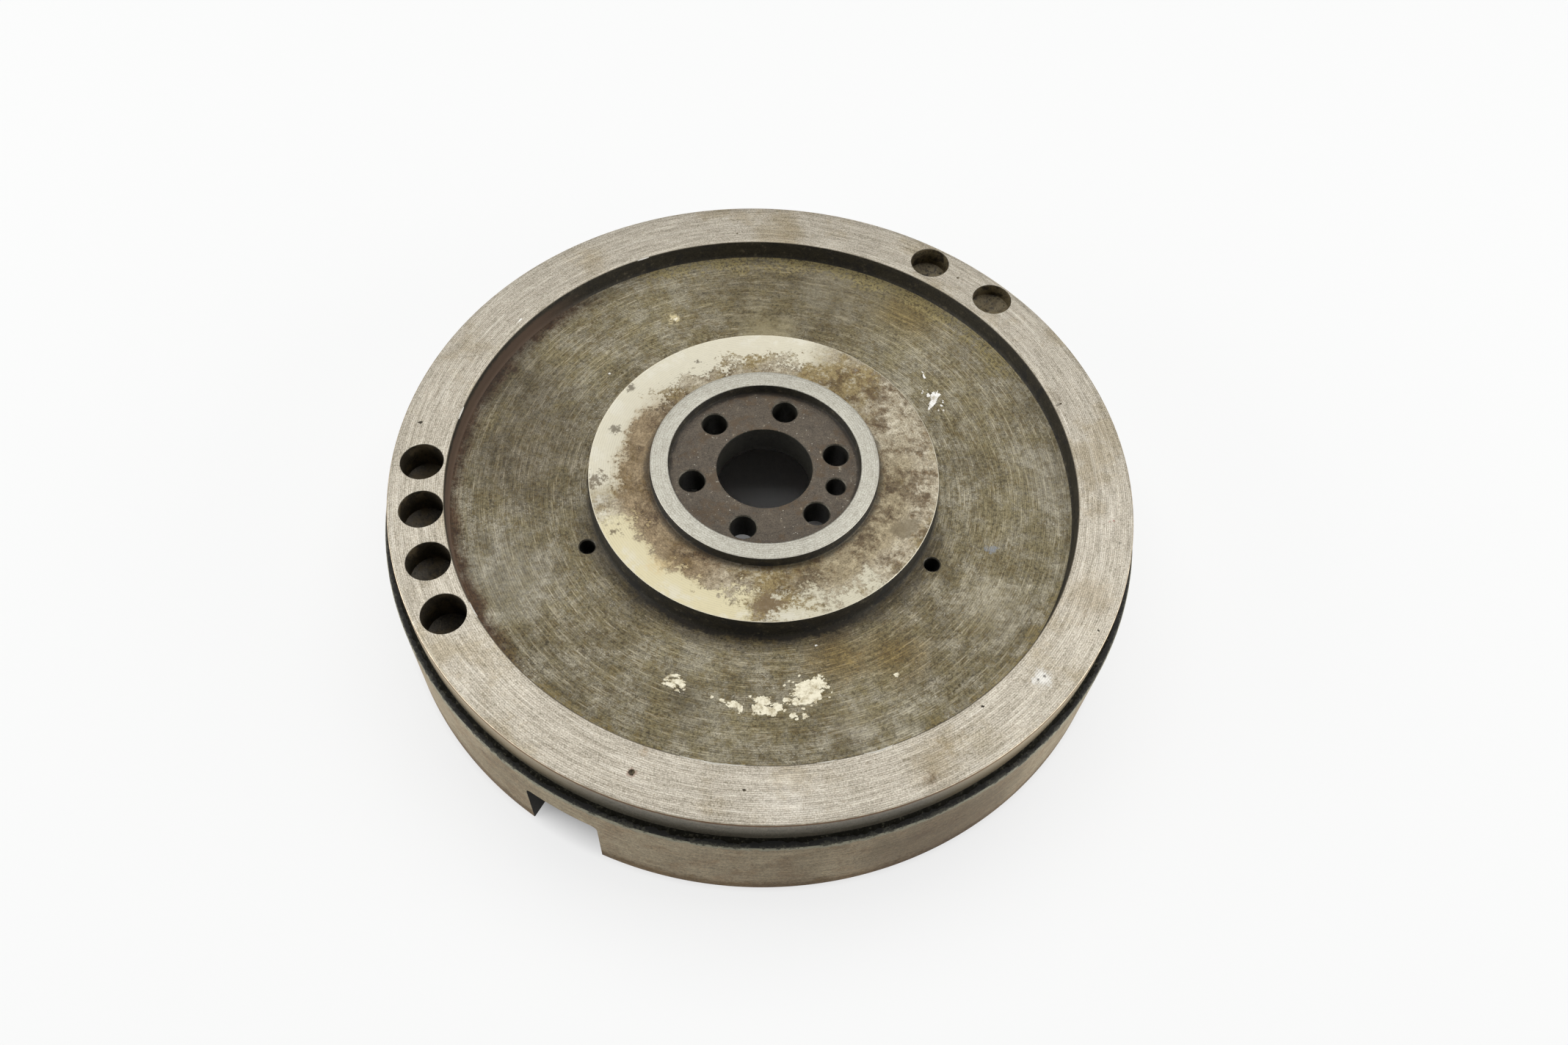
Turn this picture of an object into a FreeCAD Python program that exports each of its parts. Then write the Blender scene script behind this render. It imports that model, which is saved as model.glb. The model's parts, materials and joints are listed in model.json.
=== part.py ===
import FreeCAD, Part
import math
import os

# A cast-iron engine flywheel of the deep pot kind, standing on its clutch end with the crankshaft side up.
# All sizes are millimetres and degrees. Z = 0 is the end of the skirt on the clutch side, and +Z runs
# along the shaft axis towards the crankshaft. Angles run anticlockwise from +X, seen from above.

# Rim, ring-gear seat and skirt
ring_gear_seat_radius = 150.0
body_height = 57.6            # skirt end to rim top
seat_height = 13.6            # rim top to the shoulder that stops the ring gear
shoulder_width = 3.4          # how far the skirt stands out past the seat
relief_height = 1.1           # undercut at the foot of the seat, so the gear can sit square
relief_depth = 0.7
rim_width = 22.2

# Web, crankshaft side
web_drop = 9.7                # rim top down to the web
web_thickness = 16.4          # web to friction face
platform_height = 10.6        # raised step around the hub, above the web
crank_seat_height = 10.9      # face that the crankshaft flange pulls up to, above the web
crank_register_radius = 38.8
crank_register_depth = 4.7
hub_ring_wall = 7.5           # ring around the register
platform_margin = 24.8        # hub ring out to the platform's edge

# Hub plate and its holes
hub_plate_thickness = 14.1
crank_bolt_inset = 8.8        # register wall in to the bolt circle
crank_bolt_count = 6
crank_bolt_hole_radius = 5.25
crank_bolt_first_angle = 16.2
crank_dowel_hole_radius = 4.0
crank_dowel_angle = 345.9
bore_spacing = 10.6           # bolt circle in to the wall of the centre bore
bolt_head_room = 15.0         # bolt circle out to the wall of the recess for the bolt heads

# Two small holes through the web, just outside the platform
web_hole_radius = 3.15
web_hole_offset = 5.9         # platform's edge out to the hole centres
web_hole_angles = (207.3, 333.1)

# Clutch side
disc_hub_recess_margin = 5.0  # web-hole circle out to the recess wall
disc_hub_recess_depth = 6.5   # friction face up to the recess floor
lip_wall = 12.4               # thin end of the skirt, outside the clutch cover's face
lip_depth = 11.5              # skirt end up to the clutch cover's face
cover_face_width = 20.0

# Clutch cover's tapped holes (M8) and pressed-in dowels
cover_bolt_count = 6
cover_bolt_first_angle = 33.7
cover_thread_drill_radius = 3.4
cover_thread_depth = 14.0
dowel_count = 3
dowel_first_angle = 63.7
dowel_radius = 4.0
dowel_standout = 7.0
dowel_seat_depth = 12.0
dowel_chamfer = 0.6

# Slot through the skirt, open at the skirt's end
notch_angle = 243.7
notch_width = 30.9
notch_height = 29.6
notch_corner_radius = 3.0
notch_run_in = 0.5            # how far the cut starts inside the wall it opens into

# Balance drillings in the rim top: angle, centre's offset from the rim's middle, full-diameter depth
balance_side_wall = 2.5       # iron left each side of a drilling on the rim's middle
balance_drillings = (
    (182.3, -1.1, 13.5),
    (191.9, -2.1, 12.2),
    (202.2, -2.1, 11.5),
    (212.4, -0.6, 15.5),
    (59.8, 1.0, 9.0),
    (45.8, 1.4, 6.0),
)
balance_point_angle = 140.0
twist_drill_point_angle = 118.0

# Edge treatment
rim_outer_chamfer = 0.7
rim_inner_chamfer = 0.3
edge_chamfer = 0.6
hole_chamfer = 0.5
cast_fillet = 2.5
machined_fillet = 0.8
overshoot = 1.0               # cutting tools run this far past the faces they open

# Levels above the skirt's end
rim_top = body_height
shoulder_level = rim_top - seat_height
web_level = rim_top - web_drop
platform_level = web_level + platform_height
crank_seat_level = web_level + crank_seat_height
hub_ring_level = crank_seat_level + crank_register_depth
hub_underside_level = crank_seat_level - hub_plate_thickness
friction_level = web_level - web_thickness
disc_hub_recess_level = friction_level + disc_hub_recess_depth
cover_face_level = lip_depth

# Radii
skirt_radius = ring_gear_seat_radius + shoulder_width
relief_radius = ring_gear_seat_radius - relief_depth
rim_inner_radius = ring_gear_seat_radius - rim_width
rim_middle_radius = ring_gear_seat_radius - rim_width / 2
balance_drill_radius = rim_width / 2 - balance_side_wall
hub_ring_radius = crank_register_radius + hub_ring_wall
platform_radius = hub_ring_radius + platform_margin
crank_bolt_circle_radius = crank_register_radius - crank_bolt_inset
bore_radius = crank_bolt_circle_radius - bore_spacing
bolt_head_recess_radius = crank_bolt_circle_radius + bolt_head_room
web_hole_circle_radius = platform_radius + web_hole_offset
disc_hub_recess_radius = web_hole_circle_radius + disc_hub_recess_margin
lip_inner_radius = skirt_radius - lip_wall
cover_ring_radius = lip_inner_radius - cover_face_width
cover_bolt_circle_radius = lip_inner_radius - cover_face_width / 2

axis_point = FreeCAD.Vector(0, 0, 0)
up = FreeCAD.Vector(0, 0, 1)


def edge(across, height, chamfer=edge_chamfer):
    return FreeCAD.Vector(across, 0, height), chamfer, False


def root(across, height, fillet):
    return FreeCAD.Vector(across, 0, height), fillet, True


# A closed outline in the XZ plane. Every corner is square, and is cut by its own chamfer or fillet.
def outline_face(corners):
    entries, exits, pieces = [], [], []
    for index, (point, size, is_round) in enumerate(corners):
        to_last = (corners[index - 1][0] - point).normalize()
        to_next = (corners[(index + 1) % len(corners)][0] - point).normalize()
        entries.append(point + to_last * size)
        exits.append(point + to_next * size)
    for index, (point, size, is_round) in enumerate(corners):
        if size > 0 and is_round:
            towards_centre = entries[index] + exits[index] - point * 2
            middle = point + towards_centre * (1 - math.sqrt(0.5))
            pieces.append(Part.Arc(entries[index], middle, exits[index]).toShape())
        elif size > 0:
            pieces.append(Part.makeLine(entries[index], exits[index]))
        pieces.append(Part.makeLine(exits[index], entries[(index + 1) % len(corners)]))
    return Part.Face(Part.Wire(pieces))


def turned_blank():
    corners = [
        edge(bore_radius, hub_underside_level),
        root(bolt_head_recess_radius, hub_underside_level, cast_fillet),
        edge(bolt_head_recess_radius, disc_hub_recess_level),
        root(disc_hub_recess_radius, disc_hub_recess_level, cast_fillet),
        edge(disc_hub_recess_radius, friction_level),
        root(cover_ring_radius, friction_level, machined_fillet),
        edge(cover_ring_radius, cover_face_level),
        root(lip_inner_radius, cover_face_level, machined_fillet),
        edge(lip_inner_radius, 0),
        edge(skirt_radius, 0),
        edge(skirt_radius, shoulder_level),
        edge(relief_radius, shoulder_level, 0),
        edge(relief_radius, shoulder_level + relief_height, 0),
        edge(ring_gear_seat_radius, shoulder_level + relief_height, 0),
        edge(ring_gear_seat_radius, rim_top, rim_outer_chamfer),
        edge(rim_inner_radius, rim_top, rim_inner_chamfer),
        root(rim_inner_radius, web_level, cast_fillet),
        root(platform_radius, web_level, cast_fillet),
        edge(platform_radius, platform_level),
        root(hub_ring_radius, platform_level, machined_fillet),
        edge(hub_ring_radius, hub_ring_level),
        edge(crank_register_radius, hub_ring_level),
        root(crank_register_radius, crank_seat_level, machined_fillet),
        edge(bore_radius, crank_seat_level),
    ]
    return outline_face(corners).revolve(axis_point, up, 360)


def on_circle(circle_radius, angle, level):
    turn = math.radians(angle)
    return FreeCAD.Vector(circle_radius * math.cos(turn), circle_radius * math.sin(turn), level)


def turned_tool(points):
    vectors = [FreeCAD.Vector(across, 0, height) for across, height in points]
    return Part.Face(Part.makePolygon(vectors + vectors[:1])).revolve(axis_point, up, 360)


# Cuts a hole right through between two levels, with both of its edges chamfered.
def through_hole(radius, low, high):
    mouth_radius = radius + hole_chamfer + overshoot
    return turned_tool([
        (0, high + overshoot),
        (mouth_radius, high + overshoot),
        (radius, high - hole_chamfer),
        (radius, low + hole_chamfer),
        (mouth_radius, low - overshoot),
        (0, low - overshoot),
    ])


# Cuts a blind hole straight down from Z = 0, ending in the cone that the drill's point leaves.
def blind_hole(radius, depth, point_angle, chamfer):
    point_depth = radius / math.tan(math.radians(point_angle / 2))
    return turned_tool([
        (0, overshoot),
        (radius + chamfer + overshoot, overshoot),
        (radius, -chamfer),
        (radius, -depth),
        (0, -depth - point_depth),
    ])


def placed(tool, position):
    copy = tool.copy()
    copy.translate(position)
    return copy


def from_below(tool):
    copy = tool.copy()
    copy.rotate(axis_point, FreeCAD.Vector(1, 0, 0), 180)
    return copy


def even_angles(first, count):
    return [first + 360 * index / count for index in range(count)]


def hub_tools():
    bolt_hole = through_hole(crank_bolt_hole_radius, hub_underside_level, crank_seat_level)
    dowel_hole = through_hole(crank_dowel_hole_radius, hub_underside_level, crank_seat_level)
    tools = [placed(dowel_hole, on_circle(crank_bolt_circle_radius, crank_dowel_angle, 0))]
    for angle in even_angles(crank_bolt_first_angle, crank_bolt_count):
        tools.append(placed(bolt_hole, on_circle(crank_bolt_circle_radius, angle, 0)))
    return tools


def web_tools():
    hole = through_hole(web_hole_radius, disc_hub_recess_level, web_level)
    return [placed(hole, on_circle(web_hole_circle_radius, angle, 0)) for angle in web_hole_angles]


def balance_tools():
    tools = []
    for angle, offset, depth in balance_drillings:
        tool = blind_hole(balance_drill_radius, depth, balance_point_angle, 0)
        tools.append(placed(tool, on_circle(rim_middle_radius + offset, angle, rim_top)))
    return tools


def cover_tools():
    thread = from_below(blind_hole(cover_thread_drill_radius, cover_thread_depth,
                                   twist_drill_point_angle, hole_chamfer))
    seat = from_below(blind_hole(dowel_radius, dowel_seat_depth, twist_drill_point_angle, 0))
    tools = []
    for angle in even_angles(cover_bolt_first_angle, cover_bolt_count):
        tools.append(placed(thread, on_circle(cover_bolt_circle_radius, angle, cover_face_level)))
    for angle in even_angles(dowel_first_angle, dowel_count):
        tools.append(placed(seat, on_circle(cover_bolt_circle_radius, angle, cover_face_level)))
    return tools


# The slot has parallel sides and a level roof, and runs out through the skirt.
def notch_tool():
    half_width = notch_width / 2
    start = math.sqrt(cover_ring_radius ** 2 - half_width ** 2) - notch_run_in
    section = outline_face([
        edge(-half_width, -overshoot, 0),
        edge(half_width, -overshoot, 0),
        root(half_width, notch_height, notch_corner_radius),
        root(-half_width, notch_height, notch_corner_radius),
    ])
    tool = section.extrude(FreeCAD.Vector(0, skirt_radius + overshoot - start, 0))
    tool.translate(FreeCAD.Vector(0, start, 0))
    tool.rotate(axis_point, up, notch_angle - 90)
    return tool


def flywheel_body():
    tools = hub_tools() + web_tools() + balance_tools() + cover_tools() + [notch_tool()]
    return turned_blank().cut(tools)


# Three straight pins, pressed into the clutch cover's face and standing out of it.
def clutch_dowels():
    length = dowel_seat_depth + dowel_standout
    end_radius = dowel_radius - dowel_chamfer
    pin = turned_tool([
        (0, 0),
        (end_radius, 0),
        (dowel_radius, dowel_chamfer),
        (dowel_radius, length - dowel_chamfer),
        (end_radius, length),
        (0, length),
    ])
    pins = []
    for angle in even_angles(dowel_first_angle, dowel_count):
        foot = on_circle(cover_bolt_circle_radius, angle, cover_face_level - dowel_standout)
        pins.append(placed(pin, foot))
    return Part.Compound(pins)


nodes = {
    "flywheel_body": flywheel_body(),
    "clutch_dowels": clutch_dowels(),
}

os.makedirs("parts", exist_ok=True)
for name, shape in nodes.items():
    shape.exportStep("parts/" + name + ".step")
    print(name, "valid", shape.isValid(), "solids", len(shape.Solids), "volume", round(shape.Volume))
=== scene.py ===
import json
import math
import random

import bpy
from mathutils import Matrix, Vector, noise


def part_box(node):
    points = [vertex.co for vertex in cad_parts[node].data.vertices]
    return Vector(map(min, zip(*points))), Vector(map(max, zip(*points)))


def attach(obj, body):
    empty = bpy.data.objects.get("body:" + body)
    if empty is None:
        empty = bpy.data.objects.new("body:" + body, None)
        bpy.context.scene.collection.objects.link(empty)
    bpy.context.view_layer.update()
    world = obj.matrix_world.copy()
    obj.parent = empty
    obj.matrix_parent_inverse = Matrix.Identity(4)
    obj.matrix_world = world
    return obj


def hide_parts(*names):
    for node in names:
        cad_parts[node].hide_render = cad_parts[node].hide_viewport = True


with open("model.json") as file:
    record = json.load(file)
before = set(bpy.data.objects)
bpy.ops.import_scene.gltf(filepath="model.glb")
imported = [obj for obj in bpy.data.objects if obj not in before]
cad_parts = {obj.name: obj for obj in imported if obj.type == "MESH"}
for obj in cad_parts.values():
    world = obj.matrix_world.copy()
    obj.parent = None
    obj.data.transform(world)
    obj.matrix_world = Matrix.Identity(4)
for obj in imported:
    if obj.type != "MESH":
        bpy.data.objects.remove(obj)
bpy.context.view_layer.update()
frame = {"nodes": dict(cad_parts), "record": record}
mounts = {mount["name"]: mount for mount in frame["record"]["mounts"]}
mm = 0.001


def radiusOf(name):
    return mounts[name]["dims"]["r_mm"]


def levelOf(name):
    return mounts[name]["pos_m"][2] / mm


# a place in millimetres from its direction in degrees, its distance from the shaft and its height
def circlePoint(angle, radius, level):
    turn = math.radians(angle)
    return Vector((radius * math.cos(turn), radius * math.sin(turn), level))


def evenAngles(first, count):
    return [first + 360 * step / count for step in range(count)]


# sizes in millimetres: the frame gives the fits, the rest are the turned steps between them
casting = {
    "segments": 720,
    "rimTop": 57.6,
    "seatHeight": 13.6,
    "reliefHeight": 1.1,
    "reliefDepth": 0.7,
    "rimWidth": 22.2,
    "webDrop": 9.7,
    "platformHeight": 10.6,
    "platformMargin": 24.8,
    "hubRingWall": 7.5,
    "hubPlate": 14.1,
    "boltHeadRoom": 15.0,
    "webHoleOffset": 5.9,
    "recessMargin": 5.0,
    "recessDepth": 6.5,
    "lipWall": 12.4,
    "coverFaceWidth": 20.0,
    "wornEdge": 0.55,       # turned edges have gone slightly round in use
    "rimInnerEdge": 0.35,
    "shoulderEdge": 1.1,
    "castFillet": 2.5,
    "cornerFillet": 0.8,
    "smallRound": 2.0,      # a round below this size needs fewer steps
    "smallRoundSteps": 4,
    "roundSteps": 6,
    "runStep": 3.0,         # longest straight run between two rings of points
    "sharpAngle": 32,
}

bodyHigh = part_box("flywheel_body")[1]
skirtRadius = bodyHigh.x / mm
hubTop = bodyHigh.z / mm
seatRadius = radiusOf("ring_gear_seat")
registerRadius = radiusOf("crank_register")
boreRadius = radiusOf("centre_bore")
crankSeat = levelOf("crank_seat")
frictionLevel = levelOf("friction_face")
coverFace = levelOf("cover_face")
crankBolts = mounts["crank_bolts"]["dims"]
coverBolts = mounts["cover_bolts"]["dims"]
boltCircle = crankBolts["pcd_mm"] / 2
coverCircle = coverBolts["pcd_mm"] / 2
rimTop = casting["rimTop"]
shoulder = rimTop - casting["seatHeight"]
webLevel = rimTop - casting["webDrop"]
platformTop = webLevel + casting["platformHeight"]
hubUnderside = crankSeat - casting["hubPlate"]
recessLevel = frictionLevel + casting["recessDepth"]
hubRingRadius = registerRadius + casting["hubRingWall"]
platformRadius = hubRingRadius + casting["platformMargin"]
webHoleCircle = platformRadius + casting["webHoleOffset"]
recessRadius = webHoleCircle + casting["recessMargin"]
rimInner = seatRadius - casting["rimWidth"]
rimMiddle = seatRadius - casting["rimWidth"] / 2
reliefRadius = seatRadius - casting["reliefDepth"]
reliefTop = shoulder + casting["reliefHeight"]
lipInner = skirtRadius - casting["lipWall"]
coverRing = lipInner - casting["coverFaceWidth"]


def linearColour(code):
    def channel(value):
        value /= 255
        return value / 12.92 if value <= 0.04045 else ((value + 0.055) / 1.055) ** 2.4
    return [channel(int(code[start:start + 2], 16)) for start in (1, 3, 5)] + [1.0]


# a number or a name in settings is a socket, unless the node has that property
def addNode(tree, kind, settings=None, links=None):
    node = tree.nodes.new(kind)
    for key, value in (settings or {}).items():
        if isinstance(key, str) and hasattr(node, key):
            setattr(node, key, value)
        else:
            node.inputs[key].default_value = value
    for key, source in (links or {}).items():
        tree.links.new(source, node.inputs[key])
    return node


# millimetres across one feature, octaves and their strength; "long" draws a pattern out round the shaft
patterns = {
    # graphite flakes are 0.2 mm long, drawn coarser so that they show
    "grain": {"size": 0.6, "detail": 2, "strength": 0.75},
    "speckle": {"size": 1.3, "detail": 3, "strength": 0.7},
    "mottle": {"size": 3.0, "detail": 6, "strength": 0.72},
    "cloud": {"size": 11.0, "detail": 8, "strength": 0.74},
    "broad": {"size": 40.0, "detail": 9, "strength": 0.7},
    # the lathe's feed is about 0.2 mm, drawn coarser so that its rings show
    "arcs": {"size": 1.1, "detail": 3, "strength": 0.7, "long": 18.0},
    # long streaks round the shaft, used only for painted highlight streaks
    "drag": {"size": 3.0, "detail": 5, "strength": 0.7, "long": 40.0},
}


def newSurface(name, metallic, roughness):
    material = bpy.data.materials.new(name)
    material.use_nodes = True
    tree = material.node_tree
    shader = tree.nodes["Principled BSDF"]
    shader.inputs["Metallic"].default_value = metallic
    shader.inputs["Roughness"].default_value = roughness
    place = addNode(tree, "ShaderNodeTexCoord")
    inMm = addNode(tree, "ShaderNodeVectorMath", {"operation": "SCALE", "Scale": 1 / mm},
                   {0: place.outputs["Object"]})
    return {"material": material, "tree": tree, "shader": shader, "mm": inMm.outputs[0], "made": {}}


def finishSurface(surface, colour, height, depth):
    tree, shader = surface["tree"], surface["shader"]
    bump = addNode(tree, "ShaderNodeBump", {"Strength": 1.0, "Distance": depth * mm}, {"Height": height})
    tree.links.new(colour, shader.inputs["Base Color"])
    tree.links.new(bump.outputs[0], shader.inputs["Normal"])
    return surface["material"]


# distance from the shaft, height, direction from the shaft, and distance and height added up
def shaftPlace(surface, wanted):
    made, tree = surface["made"], surface["tree"]
    if wanted not in made:
        split = addNode(tree, "ShaderNodeSeparateXYZ", {}, {0: surface["mm"]})
        flat = addNode(tree, "ShaderNodeCombineXYZ", {}, {"X": split.outputs["X"], "Y": split.outputs["Y"]})
        length = addNode(tree, "ShaderNodeVectorMath", {"operation": "LENGTH"}, {0: flat.outputs[0]})
        heading = addNode(tree, "ShaderNodeVectorMath", {"operation": "NORMALIZE"}, {0: flat.outputs[0]})
        across = addNode(tree, "ShaderNodeMath", {"operation": "ADD"},
                         {0: length.outputs["Value"], 1: split.outputs["Z"]})
        made["height"] = split.outputs["Z"]
        made["radius"] = length.outputs["Value"]
        made["heading"] = heading.outputs[0]
        made["across"] = across.outputs[0]
    return made[wanted]


def pattern(surface, name):
    made, tree, look = surface["made"], surface["tree"], patterns[name]
    if name not in made:
        vector, scale = surface["mm"], 1 / look["size"]
        if "long" in look:
            along = addNode(tree, "ShaderNodeVectorMath",
                            {"operation": "SCALE", "Scale": seatRadius / look["long"]},
                            {0: shaftPlace(surface, "heading")})
            turn = addNode(tree, "ShaderNodeSeparateXYZ", {}, {0: along.outputs[0]})
            steps = addNode(tree, "ShaderNodeMath", {"operation": "DIVIDE", 1: look["size"]},
                            {0: shaftPlace(surface, "across")})
            ring = addNode(tree, "ShaderNodeCombineXYZ", {},
                           {"X": steps.outputs[0], "Y": turn.outputs["X"], "Z": turn.outputs["Y"]})
            vector, scale = ring.outputs[0], 1
        noiseNode = addNode(tree, "ShaderNodeTexNoise",
                            {"Scale": scale, "Detail": look["detail"], "Roughness": look["strength"]},
                            {"Vector": vector})
        made[name] = noiseNode.outputs["Fac"]
    return made[name]


# patterns added up by their weights, which should come to 1
def blendOf(surface, weights):
    total = None
    for name, weight in weights.items():
        links = {0: pattern(surface, name)}
        if total is not None:
            links[2] = total
        total = addNode(surface["tree"], "ShaderNodeMath", {"operation": "MULTIPLY_ADD", 1: weight, 2: 0.0},
                        links).outputs[0]
    return total


# where a layer of dirt or wear lies: its patterns, its reach along a line, its spot and its sector together
def layerMask(surface, layer):
    tree, masks = surface["tree"], []
    ragged = layer.get("ragged", {})
    shift = sum(ragged.values()) / 2

    def raggedEdge(value, shrink=1):
        for name, reach in ragged.items():
            value = addNode(tree, "ShaderNodeMath", {"operation": "MULTIPLY_ADD", 1: reach / shrink},
                            {0: pattern(surface, name), 2: value}).outputs[0]
        return value

    def ramp(value, low, high):
        node = addNode(tree, "ShaderNodeMapRange",
                       {"interpolation_type": "SMOOTHSTEP", "From Min": low, "From Max": high},
                       {"Value": value})
        masks.append(node.outputs[0])

    for name, low, high in layer.get("where", ()):
        ramp(pattern(surface, name), low, high)
    for line, low, high in layer.get("along", ()):
        ramp(raggedEdge(shaftPlace(surface, line)), low + shift, high + shift)
    if "spot" in layer:
        place, reach, soft = layer["spot"]
        gap = addNode(tree, "ShaderNodeVectorMath", {"operation": "DISTANCE", 1: place}, {0: surface["mm"]})
        ramp(raggedEdge(gap.outputs["Value"]), reach + soft / 2 + shift, reach - soft / 2 + shift)
    if "sector" in layer:
        angle, half, soft = layer["sector"]
        middle = circlePoint(angle, 1, 0)
        facing = addNode(tree, "ShaderNodeVectorMath", {"operation": "DOT_PRODUCT", 1: middle},
                         {0: shaftPlace(surface, "heading")})
        edges = [math.cos(math.radians(half + side * soft)) + shift / seatRadius for side in (1, -1)]
        ramp(raggedEdge(facing.outputs["Value"], seatRadius), *edges)
    mask = masks[0]
    for other in masks[1:]:
        mask = addNode(tree, "ShaderNodeMath", {"operation": "MULTIPLY"}, {0: mask, 1: other}).outputs[0]
    shown = addNode(tree, "ShaderNodeMath", {"operation": "MULTIPLY", 1: layer["amount"]}, {0: mask})
    return shown.outputs[0]


ironDefaults = {
    "tone": {"grain": 0.5, "mottle": 0.3, "arcs": 0.2},
    "spread": 0.13,         # how far the patterns swing between dark and light: small is harder
    "layers": (),
    "linePitch": 0.95,      # rings of the lathe tool, drawn coarser than its feed so that they show
    "lineColour": "#5c564b",
    "lineAmount": 0.0,
    "lineWaver": 1.2,
    "lineDepth": 0.02,
    "grainDepth": 0.05,
    "metallic": 0.75,
    "roughness": 0.48,
    "dirtyRoughness": 0.8,
    "drawnOut": 0.5,        # turned marks draw the highlight out across them
    "grainTurn": 0.25,      # the highlight's turn, in whole turns
}


# the lathe's lines, broken where they are worn or filled: how much they darken, and the wave they follow
def latheLines(surface, look):
    tree = surface["tree"]
    lift = addNode(tree, "ShaderNodeCombineXYZ", {}, {"Z": shaftPlace(surface, "across")})
    waver = addNode(tree, "ShaderNodeVectorMath", {"operation": "MULTIPLY_ADD", 1: (1, 1, 0)},
                    {0: surface["mm"], 2: lift.outputs[0]})
    bandScale = 2 * math.pi / 20 / look["linePitch"]     # at scale 1 the bands are 2 pi / 20 apart
    wave = addNode(tree, "ShaderNodeTexWave",
                   {"wave_type": "BANDS", "bands_direction": "Z", "Scale": bandScale,
                    "Distortion": look["lineWaver"], "Detail": 2, "Detail Scale": 1.5},
                   {"Vector": waver.outputs[0]})
    broken = addNode(tree, "ShaderNodeMapRange", {"From Min": 0.36, "From Max": 0.56},
                     {"Value": pattern(surface, "mottle")})
    groove = addNode(tree, "ShaderNodeMapRange",
                     {"From Min": 0.45, "From Max": 0.0, "To Max": look["lineAmount"]},
                     {"Value": wave.outputs["Fac"]})
    shown = addNode(tree, "ShaderNodeMath", {"operation": "MULTIPLY"},
                    {0: groove.outputs[0], 1: broken.outputs[0]})
    return shown.outputs[0], wave.outputs["Fac"]


# grey iron cut on a lathe: the tool leaves rings, the graphite an open speckle, and oil and handling stain it
def agedIron(name, light, dark, **changes):
    look = {**ironDefaults, **changes}
    surface = newSurface(name, look["metallic"], look["roughness"])
    tree, shader = surface["tree"], surface["shader"]

    def tinted(mask, code, below, blend="MIX"):
        return addNode(tree, "ShaderNodeMix",
                       {"data_type": "RGBA", "blend_type": blend, 7: linearColour(code)},
                       {0: mask, 6: below}).outputs[2]

    def raised(source, depth, below):
        return addNode(tree, "ShaderNodeMath", {"operation": "MULTIPLY_ADD", 1: depth},
                       {0: source, 2: below}).outputs[0]

    tone = addNode(tree, "ShaderNodeMapRange",
                   {"From Min": 0.5 - look["spread"], "From Max": 0.5 + look["spread"]},
                   {"Value": blendOf(surface, look["tone"])})
    colour = addNode(tree, "ShaderNodeMix",
                     {"data_type": "RGBA", 6: linearColour(dark), 7: linearColour(light)},
                     {0: tone.outputs[0]}).outputs[2]
    height = addNode(tree, "ShaderNodeMath", {"operation": "MULTIPLY", 1: look["grainDepth"]},
                     {0: pattern(surface, "grain")}).outputs[0]

    # each layer tints what lies below it, dulls it if it is dirt, and may stand proud as a film
    dirt = None
    for layer in look["layers"]:
        mask = layerMask(surface, layer)
        colour = tinted(mask, layer["colour"], colour, layer.get("blend", "MIX"))
        if layer.get("dull", True):
            links = {0: mask} if dirt is None else {0: mask, 1: dirt}
            dirt = addNode(tree, "ShaderNodeMath", {"operation": "MAXIMUM", 1: 0.0}, links).outputs[0]
        if "film" in layer:
            height = raised(mask, layer["film"], height)
    if look["lineAmount"] > 0:
        shown, wave = latheLines(surface, look)
        colour = tinted(shown, look["lineColour"], colour)
        height = raised(wave, look["lineDepth"], height)

    # dirt is rough and isn't metal
    if dirt is not None:
        for socket, clean, dirty in (("Roughness", look["roughness"], look["dirtyRoughness"]),
                                     ("Metallic", look["metallic"], 0.0)):
            mixed = addNode(tree, "ShaderNodeMapRange", {"To Min": clean, "To Max": dirty}, {"Value": dirt})
            tree.links.new(mixed.outputs[0], shader.inputs[socket])
    if look["drawnOut"] > 0:
        tangent = addNode(tree, "ShaderNodeTangent", {"direction_type": "RADIAL", "axis": "Z"})
        shader.inputs["Anisotropic"].default_value = look["drawnOut"]
        shader.inputs["Anisotropic Rotation"].default_value = look["grainTurn"]
        tree.links.new(tangent.outputs[0], shader.inputs["Tangent"])
    return finishSurface(surface, colour, height, 1.0)


# dirt or wear where a pattern is strong, or weak if its second number is the smaller
def fleck(colour, amount, *where, **more):
    return {"colour": colour, "amount": amount, "where": where, **more}


# dirt or wear that fades in from one distance to the next, along the radius or the height
def band(colour, amount, line, faint, full, **more):
    return {"colour": colour, "amount": amount, "along": ((line, faint, full),), **more}


# a round patch: its place, how far it reaches, its colour and strength, and how soft its edge is
def stain(place, reach, colour, amount, soft=16.0, ragged=None, **more):
    return {"spot": (circlePoint(*place), reach, soft), "colour": colour, "amount": amount,
            "ragged": ragged or {"cloud": 40.0, "mottle": 10.0}, "dull": False, **more}


# a thin bloom or wash lets the grain below show through
def bloom(colour, amount, *where, **more):
    return fleck(colour, amount, *where, **{"blend": "MULTIPLY", "dull": False, **more})


def wash(place, reach, colour, amount, soft=16.0, ragged=None):
    return stain(place, reach, colour, amount, soft, ragged, blend="MULTIPLY")


# a spot's place is its angle, radius and level; oil that has crept out has a lumpy edge
oilEdge = {"mottle": 16.0, "speckle": 8.0}
rustEdge = {"cloud": 16.0, "mottle": 12.0}
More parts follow.
